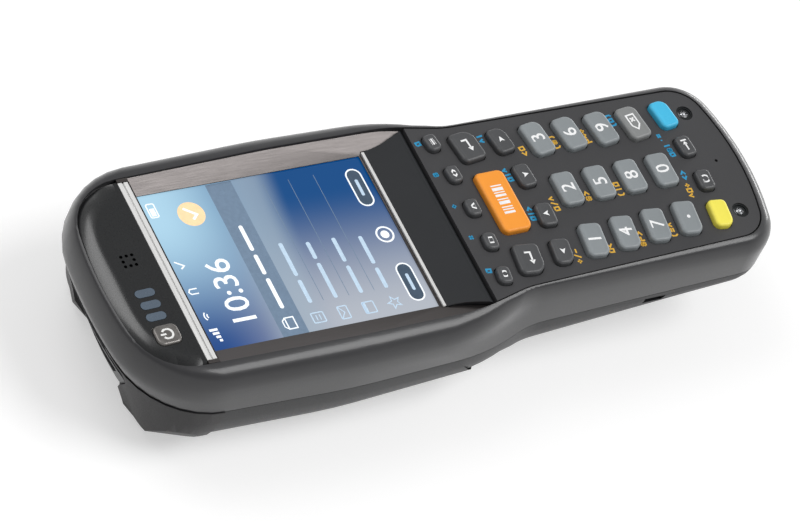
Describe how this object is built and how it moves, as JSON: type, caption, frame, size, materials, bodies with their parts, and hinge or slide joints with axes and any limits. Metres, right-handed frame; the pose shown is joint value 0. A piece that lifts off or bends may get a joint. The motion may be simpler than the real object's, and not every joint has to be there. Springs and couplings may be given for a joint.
{
  "type": "portable barcode data terminal",
  "caption": "One-hand portable data terminal: wide head with a touch display and an end scan window, narrow grip with a raised keypad, hinged battery cover on the back.",
  "frame": {"origin": "under the middle of the terminal, on the surface that its back rests on", "axes": "+X across the face to its right, +Y from the keypad's tail to the scanning head, +Z out of the face"},
  "size_m": [0.0706, 0.1952, 0.039],
  "materials": {
    "housing": "fine grained dark grey",
    "housing_rear": "fine grained dark grey",
    "frame_plastic": "brushed warm grey",
    "gloss_black": "polished",
    "trim_silver": "satin",
    "dark_plastic": "satin",
    "touch_glass": "polished, lit display behind it",
    "lcd": "pressed sheet",
    "black_rubber": "matte",
    "pressed_steel": "satin",
    "keypad_face": "fine grained",
    "grey_rubber": "matte",
    "circuit_board": "green solder mask",
    "button_silver": "satin metallic",
    "pin_steel": "polished",
    "light_guide": "translucent",
    "screw_steel": "satin",
    "scan_glass": "dark red, polished",
    "battery_shell": "fine grained",
    "contact_gold": "gold plated",
    "key_dark": "satin",
    "key_grey": "satin",
    "key_warm_grey": "satin",
    "key_orange": "satin",
    "key_yellow_plastic": "satin",
    "key_blue_plastic": "satin"
  },
  "bodies": {
    "terminal": {"front_cover": "housing", "rear_cover": "housing_rear", "screen_frame": "frame_plastic", "top_panel": "gloss_black", "screen_trims": "trim_silver", "chin_panel": "dark_plastic", "touch_panel": "touch_glass", "display_module": "lcd", "display_gasket": "black_rubber", "display_tray": "pressed_steel", "keypad_plate": "keypad_face", "keypad_mat": "grey_rubber", "keypad_board": "circuit_board", "main_board": "circuit_board", "panel_board": "circuit_board", "hinge_pin": "pin_steel", "status_lights": "light_guide", "speaker": "dark_plastic", "microphone": "pressed_steel", "keypad_screws": "screw_steel", "cover_screws": "screw_steel", "scan_bezel": "dark_plastic", "scan_window": "scan_glass", "scan_engine": "dark_plastic", "head_bumper": "black_rubber", "battery_pack": "battery_shell", "battery_contacts": "contact_gold", "dock_connector": "dark_plastic", "housing_seal": "black_rubber"},
    "key_f1": {"key_f1": "key_dark"},
    "key_f5": {"key_f5": "key_dark"},
    "key_f2": {"key_f2": "key_dark"},
    "key_f4": {"key_f4": "key_dark"},
    "key_f3": {"key_f3": "key_dark"},
    "key_enter_left": {"key_enter_left": "key_dark"},
    "key_enter_right": {"key_enter_right": "key_dark"},
    "key_scan": {"key_scan": "key_orange"},
    "key_up": {"key_up": "key_dark"},
    "key_down": {"key_down": "key_dark"},
    "key_left": {"key_left": "key_dark"},
    "key_right": {"key_right": "key_dark"},
    "key_1": {"key_1": "key_grey"},
    "key_2": {"key_2": "key_grey"},
    "key_3": {"key_3": "key_grey"},
    "key_4": {"key_4": "key_grey"},
    "key_5": {"key_5": "key_grey"},
    "key_6": {"key_6": "key_grey"},
    "key_7": {"key_7": "key_grey"},
    "key_8": {"key_8": "key_grey"},
    "key_9": {"key_9": "key_grey"},
    "key_0": {"key_0": "key_grey"},
    "key_dot": {"key_dot": "key_grey"},
    "key_backspace": {"key_backspace": "key_warm_grey"},
    "key_yellow": {"key_yellow": "key_yellow_plastic"},
    "key_blue": {"key_blue": "key_blue_plastic"},
    "key_escape": {"key_escape": "key_dark"},
    "key_tab": {"key_tab": "key_dark"},
    "power_button": {"power_button": "button_silver"},
    "battery_cover": {"battery_cover": "housing_rear"},
    "battery_latch": {"battery_latch": "dark_plastic"}
  },
  "joints": [
    {"name": "battery_cover_hinge", "type": "hinge", "parent": "terminal", "child": "battery_cover", "pos_m": [0, -0.0082, 0.0019], "axis": [-1, 0, 0], "range_deg": [0, 90]},
    {"name": "battery_latch_slide", "type": "slide", "parent": "battery_cover", "child": "battery_latch", "axis": [0, 1, 0], "range_m": [0, 0.0024]},
    {"name": "power_button_press", "type": "slide", "parent": "terminal", "child": "power_button", "axis": [0, -0.0628, -0.998], "range_m": [0, 0.0006], "stiffness_N_per_m": 500},
    {"name": "key_f1_press", "type": "slide", "parent": "terminal", "child": "key_f1", "axis": [0, -0.015, -0.9999], "range_m": [0, 0.0008], "stiffness_N_per_m": 400},
    {"name": "key_f5_press", "type": "slide", "parent": "terminal", "child": "key_f5", "axis": [0, -0.015, -0.9999], "range_m": [0, 0.0008], "stiffness_N_per_m": 400},
    {"name": "key_f2_press", "type": "slide", "parent": "terminal", "child": "key_f2", "axis": [0, -0.015, -0.9999], "range_m": [0, 0.0008], "stiffness_N_per_m": 400},
    {"name": "key_f4_press", "type": "slide", "parent": "terminal", "child": "key_f4", "axis": [0, -0.015, -0.9999], "range_m": [0, 0.0008], "stiffness_N_per_m": 400},
    {"name": "key_f3_press", "type": "slide", "parent": "terminal", "child": "key_f3", "axis": [0, -0.015, -0.9999], "range_m": [0, 0.0008], "stiffness_N_per_m": 400},
    {"name": "key_enter_left_press", "type": "slide", "parent": "terminal", "child": "key_enter_left", "axis": [0, -0.015, -0.9999], "range_m": [0, 0.0008], "stiffness_N_per_m": 400},
    {"name": "key_enter_right_press", "type": "slide", "parent": "terminal", "child": "key_enter_right", "axis": [0, -0.015, -0.9999], "range_m": [0, 0.0008], "stiffness_N_per_m": 400},
    {"name": "key_scan_press", "type": "slide", "parent": "terminal", "child": "key_scan", "axis": [0, -0.015, -0.9999], "range_m": [0, 0.0008], "stiffness_N_per_m": 400},
    {"name": "key_up_press", "type": "slide", "parent": "terminal", "child": "key_up", "axis": [0, -0.015, -0.9999], "range_m": [0, 0.0008], "stiffness_N_per_m": 400},
    {"name": "key_down_press", "type": "slide", "parent": "terminal", "child": "key_down", "axis": [0, -0.015, -0.9999], "range_m": [0, 0.0008], "stiffness_N_per_m": 400},
    {"name": "key_left_press", "type": "slide", "parent": "terminal", "child": "key_left", "axis": [0, -0.015, -0.9999], "range_m": [0, 0.0008], "stiffness_N_per_m": 400},
    {"name": "key_right_press", "type": "slide", "parent": "terminal", "child": "key_right", "axis": [0, -0.015, -0.9999], "range_m": [0, 0.0008], "stiffness_N_per_m": 400},
    {"name": "key_1_press", "type": "slide", "parent": "terminal", "child": "key_1", "axis": [0, -0.015, -0.9999], "range_m": [0, 0.0008], "stiffness_N_per_m": 400},
    {"name": "key_2_press", "type": "slide", "parent": "terminal", "child": "key_2", "axis": [0, -0.015, -0.9999], "range_m": [0, 0.0008], "stiffness_N_per_m": 400},
    {"name": "key_3_press", "type": "slide", "parent": "terminal", "child": "key_3", "axis": [0, -0.015, -0.9999], "range_m": [0, 0.0008], "stiffness_N_per_m": 400},
    {"name": "key_4_press", "type": "slide", "parent": "terminal", "child": "key_4", "axis": [0, -0.015, -0.9999], "range_m": [0, 0.0008], "stiffness_N_per_m": 400},
    {"name": "key_5_press", "type": "slide", "parent": "terminal", "child": "key_5", "axis": [0, -0.015, -0.9999], "range_m": [0, 0.0008], "stiffness_N_per_m": 400},
    {"name": "key_6_press", "type": "slide", "parent": "terminal", "child": "key_6", "axis": [0, -0.015, -0.9999], "range_m": [0, 0.0008], "stiffness_N_per_m": 400},
    {"name": "key_7_press", "type": "slide", "parent": "terminal", "child": "key_7", "axis": [0, -0.015, -0.9999], "range_m": [0, 0.0008], "stiffness_N_per_m": 400},
    {"name": "key_8_press", "type": "slide", "parent": "terminal", "child": "key_8", "axis": [0, -0.015, -0.9999], "range_m": [0, 0.0008], "stiffness_N_per_m": 400},
    {"name": "key_9_press", "type": "slide", "parent": "terminal", "child": "key_9", "axis": [0, -0.015, -0.9999], "range_m": [0, 0.0008], "stiffness_N_per_m": 400},
    {"name": "key_0_press", "type": "slide", "parent": "terminal", "child": "key_0", "axis": [0, -0.015, -0.9999], "range_m": [0, 0.0008], "stiffness_N_per_m": 400},
    {"name": "key_dot_press", "type": "slide", "parent": "terminal", "child": "key_dot", "axis": [0, -0.015, -0.9999], "range_m": [0, 0.0008], "stiffness_N_per_m": 400},
    {"name": "key_backspace_press", "type": "slide", "parent": "terminal", "child": "key_backspace", "axis": [0, -0.015, -0.9999], "range_m": [0, 0.0008], "stiffness_N_per_m": 400},
    {"name": "key_yellow_press", "type": "slide", "parent": "terminal", "child": "key_yellow", "axis": [0, -0.015, -0.9999], "range_m": [0, 0.0008], "stiffness_N_per_m": 400},
    {"name": "key_blue_press", "type": "slide", "parent": "terminal", "child": "key_blue", "axis": [0, -0.015, -0.9999], "range_m": [0, 0.0008], "stiffness_N_per_m": 400},
    {"name": "key_escape_press", "type": "slide", "parent": "terminal", "child": "key_escape", "axis": [0, -0.015, -0.9999], "range_m": [0, 0.0008], "stiffness_N_per_m": 400},
    {"name": "key_tab_press", "type": "slide", "parent": "terminal", "child": "key_tab", "axis": [0, -0.015, -0.9999], "range_m": [0, 0.0008], "stiffness_N_per_m": 400}
  ]
}
